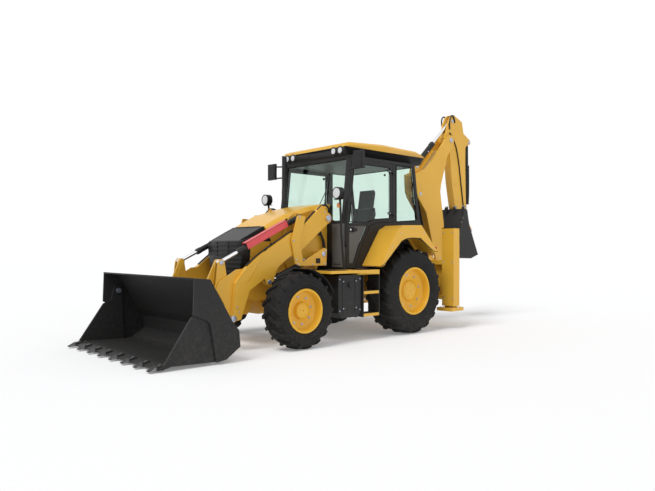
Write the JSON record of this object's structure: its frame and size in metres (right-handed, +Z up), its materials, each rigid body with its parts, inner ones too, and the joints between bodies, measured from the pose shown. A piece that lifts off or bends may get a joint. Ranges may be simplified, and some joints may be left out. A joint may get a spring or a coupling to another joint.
{
  "type": "backhoe loader",
  "caption": "Wheeled backhoe loader with a front bucket and opening jaw on lift arms, a glazed cab, and a folded rear digging arm on a side-shift frame.",
  "frame": {"origin": "under the middle of the machine's length and width, on the ground with the tools folded", "axes": "+X forward, +Y to the machine's left, +Z up"},
  "size_m": [7.066, 2.406, 3.782],
  "materials": {
    "yellow_paint": "satin",
    "black_paint": "satin",
    "tyre_rubber": "matte",
    "glass": "clear",
    "chrome_rod": "polished",
    "cast_metal": "matte",
    "dark_plastic": "matte",
    "chair_cloth": "woven",
    "red_paint": "satin"
  },
  "bodies": {
    "chassis": {"main_frame": "yellow_paint", "engine_block": "cast_metal", "gearbox": "cast_metal", "rear_axle": "yellow_paint", "front_axle": "yellow_paint", "grille": "black_paint", "loader_towers": "yellow_paint", "cab_frame": "black_paint", "cab_roof": "yellow_paint", "cab_glass": "glass", "driver_seat": "chair_cloth", "controls": "dark_plastic", "rear_fenders": "yellow_paint", "side_tanks": "black_paint", "steps": "yellow_paint", "exhaust_stack": "black_paint", "work_lamps": "dark_plastic", "shift_frame": "yellow_paint"},
    "hood": {"hood": "yellow_paint"},
    "left_door": {"left_door": "black_paint", "left_door_glass": "glass"},
    "right_door": {"right_door": "black_paint", "right_door_glass": "glass"},
    "left_knuckle": {"left_knuckle": "yellow_paint"},
    "right_knuckle": {"right_knuckle": "yellow_paint"},
    "front_left_wheel": {"front_left_tyre": "tyre_rubber", "front_left_rim": "yellow_paint"},
    "front_right_wheel": {"front_right_tyre": "tyre_rubber", "front_right_rim": "yellow_paint"},
    "rear_left_wheel": {"rear_left_tyre": "tyre_rubber", "rear_left_rim": "yellow_paint"},
    "rear_right_wheel": {"rear_right_tyre": "tyre_rubber", "rear_right_rim": "yellow_paint"},
    "loader_arms": {"loader_arms": "yellow_paint"},
    "lift_barrels": {"lift_barrels": "black_paint"},
    "lift_rods": {"lift_rods": "chrome_rod"},
    "tilt_barrels": {"tilt_barrels": "black_paint", "safety_strut": "red_paint"},
    "tilt_rods": {"tilt_rods": "chrome_rod"},
    "tilt_levers": {"tilt_levers": "yellow_paint"},
    "tilt_links": {"tilt_links": "yellow_paint"},
    "loader_bucket": {"loader_bucket": "black_paint"},
    "bucket_jaw": {"bucket_jaw": "black_paint"},
    "carriage": {"carriage": "yellow_paint"},
    "kingpost": {"kingpost": "yellow_paint"},
    "boom": {"boom": "yellow_paint"},
    "boom_barrel": {"boom_barrel": "black_paint"},
    "boom_rod": {"boom_rod": "chrome_rod"},
    "stick": {"stick": "yellow_paint"},
    "stick_barrel": {"stick_barrel": "black_paint"},
    "stick_rod": {"stick_rod": "chrome_rod"},
    "hoe_bucket": {"hoe_bucket": "black_paint"},
    "hoe_barrel": {"hoe_barrel": "black_paint"},
    "hoe_rod": {"hoe_rod": "chrome_rod"},
    "hoe_lever": {"hoe_lever": "yellow_paint"},
    "hoe_link": {"hoe_link": "yellow_paint"},
    "left_stabilizer": {"left_stabilizer": "yellow_paint"},
    "right_stabilizer": {"right_stabilizer": "yellow_paint"}
  },
  "joints": [
    {"name": "hood_open", "type": "hinge", "parent": "chassis", "child": "hood", "pos_m": [0.372, 0, 1.925], "axis": [0, -1, 0], "range_deg": [0, 35]},
    {"name": "left_door_open", "type": "hinge", "parent": "chassis", "child": "left_door", "pos_m": [-0.733, 0.752, 1.8], "axis": [0, 0, 1], "range_deg": [0, 85]},
    {"name": "right_door_open", "type": "hinge", "parent": "chassis", "child": "right_door", "pos_m": [-0.733, -0.752, 1.8], "axis": [0, 0, -1], "range_deg": [0, 85]},
    {"name": "left_steer", "type": "hinge", "parent": "chassis", "child": "left_knuckle", "pos_m": [1.357, 0.79, 0.5], "axis": [0, 0, 1], "range_deg": [-28, 28]},
    {"name": "right_steer", "type": "hinge", "parent": "chassis", "child": "right_knuckle", "pos_m": [1.357, -0.79, 0.5], "axis": [0, 0, 1], "range_deg": [-28.2, 28.2]},
    {"name": "front_left_roll", "type": "hinge", "parent": "left_knuckle", "child": "front_left_wheel", "pos_m": [1.357, 0.9475, 0.5], "axis": [0, 1, 0], "continuous": true},
    {"name": "front_right_roll", "type": "hinge", "parent": "right_knuckle", "child": "front_right_wheel", "pos_m": [1.357, -0.9475, 0.5], "axis": [0, 1, 0], "continuous": true},
    {"name": "rear_left_roll", "type": "hinge", "parent": "chassis", "child": "rear_left_wheel", "pos_m": [-0.843, 0.862, 0.655], "axis": [0, 1, 0], "continuous": true},
    {"name": "rear_right_roll", "type": "hinge", "parent": "chassis", "child": "rear_right_wheel", "pos_m": [-0.843, -0.862, 0.655], "axis": [0, 1, 0], "continuous": true},
    {"name": "arms_lift", "type": "hinge", "parent": "chassis", "child": "loader_arms", "pos_m": [0.545, 0, 1.735], "axis": [0, -1, 0], "range_deg": [-2, 85]},
    {"name": "lift_barrel_turn", "type": "hinge", "parent": "chassis", "child": "lift_barrels", "pos_m": [0.648, 0, 1.222], "axis": [0, -1, 0], "range_deg": [-2.1, 81.11]},
    {"name": "lift_rod_slide", "type": "slide", "parent": "lift_barrels", "child": "lift_rods", "axis": [0.9318, 0, -0.3631], "range_m": [-0.01849, 0.70287]},
    {"name": "bucket_tilt", "type": "hinge", "parent": "loader_arms", "child": "loader_bucket", "pos_m": [2.29, 0, 0.348], "axis": [0, 1, 0], "range_deg": [-40, 125]},
    {"name": "lever_turn", "type": "hinge", "parent": "loader_arms", "child": "tilt_levers", "pos_m": [2.138, 0, 0.421], "axis": [0, 1, 0], "range_deg": [-29.88, 92.95]},
    {"name": "link_turn", "type": "hinge", "parent": "tilt_levers", "child": "tilt_links", "pos_m": [2.267, 0, 1.126], "axis": [0, 1, 0], "range_deg": [-27.7, 9]},
    {"name": "tilt_barrel_turn", "type": "hinge", "parent": "chassis", "child": "tilt_barrels", "pos_m": [0.98, 0, 1.737], "axis": [0, -1, 0], "range_deg": [-2.36, 92]},
    {"name": "tilt_rod_slide", "type": "slide", "parent": "tilt_barrels", "child": "tilt_rods", "axis": [0.9034, 0, -0.4289], "range_m": [-0.23378, 0.72631]},
    {"name": "jaw_open", "type": "hinge", "parent": "loader_bucket", "child": "bucket_jaw", "pos_m": [2.844, 0, 0.72], "axis": [0, -1, 0], "range_deg": [0, 70]},
    {"name": "carriage_shift", "type": "slide", "parent": "chassis", "child": "carriage", "axis": [0, 1, 0], "range_m": [-0.78, 0.38]},
    {"name": "swing", "type": "hinge", "parent": "carriage", "child": "kingpost", "pos_m": [-2.263, 0.2, 0.8], "axis": [0, 0, 1], "range_deg": [-90, 90]},
    {"name": "boom_lower", "type": "hinge", "parent": "kingpost", "child": "boom", "pos_m": [-2.463, 0.2, 0.8], "axis": [0, -1, 0], "range_deg": [0, 125]},
    {"name": "boom_barrel_turn", "type": "hinge", "parent": "kingpost", "child": "boom_barrel", "pos_m": [-2.223, 0.2, 1.12], "axis": [0, -1, 0], "range_deg": [-0.2, 127.28]},
    {"name": "boom_rod_slide", "type": "slide", "parent": "boom_barrel", "child": "boom_rod", "axis": [0.2566, 0, 0.9665], "range_m": [-0.002, 0.70958]},
    {"name": "stick_out", "type": "hinge", "parent": "boom", "child": "stick", "pos_m": [-2.809, 0.2, 3.288], "axis": [0, 1, 0], "range_deg": [0, 100]},
    {"name": "stick_barrel_turn", "type": "hinge", "parent": "boom", "child": "stick_barrel", "pos_m": [-1.913, 0.2, 2.728], "axis": [0, 1, 0], "range_deg": [-0.2, 10.2]},
    {"name": "stick_rod_slide", "type": "slide", "parent": "stick_barrel", "child": "stick_rod", "axis": [-0.7378, 0, 0.6751], "range_m": [-0.59148, 0.002]},
    {"name": "hoe_bucket_open", "type": "hinge", "parent": "stick", "child": "hoe_bucket", "pos_m": [-3.363, 0.2, 1.46], "axis": [0, 1, 0], "range_deg": [0, 125]},
    {"name": "hoe_lever_turn", "type": "hinge", "parent": "stick", "child": "hoe_lever", "pos_m": [-3.338, 0.2, 1.819], "axis": [0, 1, 0], "range_deg": [-0.2, 113.45]},
    {"name": "hoe_link_turn", "type": "hinge", "parent": "hoe_lever", "child": "hoe_link", "pos_m": [-3.487, 0.2, 1.649], "axis": [0, 1, 0], "range_deg": [-112.7, 0.2]},
    {"name": "hoe_barrel_turn", "type": "hinge", "parent": "stick", "child": "hoe_barrel", "pos_m": [-3.463, 0.2, 3.33], "axis": [0, 1, 0], "range_deg": [-0.2, 0.95]},
    {"name": "hoe_rod_slide", "type": "slide", "parent": "hoe_barrel", "child": "hoe_rod", "axis": [-0.0143, 0, -0.9999], "range_m": [-0.37589, 0.002]},
    {"name": "left_stabilizer_drop", "type": "slide", "parent": "chassis", "child": "left_stabilizer", "axis": [0, 0, -1], "range_m": [0, 0.55]},
    {"name": "right_stabilizer_drop", "type": "slide", "parent": "chassis", "child": "right_stabilizer", "axis": [0, 0, -1], "range_m": [0, 0.55]}
  ],
  "couplings": [
    {"joint": "right_steer", "follows": "left_steer", "ratio": 1},
    {"joint": "lift_barrel_turn", "follows": "arms_lift", "ratio": 0.95191},
    {"joint": "lift_rod_slide", "follows": "arms_lift", "m_per_rad": 0.47243},
    {"joint": "lever_turn", "follows": "bucket_tilt", "ratio": 0.742},
    {"joint": "link_turn", "follows": "bucket_tilt", "ratio": -0.22},
    {"joint": "tilt_barrel_turn", "follows": "arms_lift", "ratio": 1.08},
    {"joint": "tilt_rod_slide", "follows": "bucket_tilt", "m_per_rad": 0.332},
    {"joint": "boom_barrel_turn", "follows": "boom_lower", "ratio": 1.0166},
    {"joint": "boom_rod_slide", "follows": "boom_lower", "m_per_rad": 0.32433},
    {"joint": "stick_barrel_turn", "follows": "stick_out", "ratio": 0.1},
    {"joint": "stick_rod_slide", "follows": "stick_out", "m_per_rad": -0.33775},
    {"joint": "hoe_lever_turn", "follows": "hoe_bucket_open", "ratio": 0.906},
    {"joint": "hoe_link_turn", "follows": "hoe_bucket_open", "ratio": -0.9},
    {"joint": "hoe_barrel_turn", "follows": "hoe_bucket_open", "ratio": 0.006},
    {"joint": "hoe_rod_slide", "follows": "hoe_bucket_open", "m_per_rad": -0.17138}
  ]
}
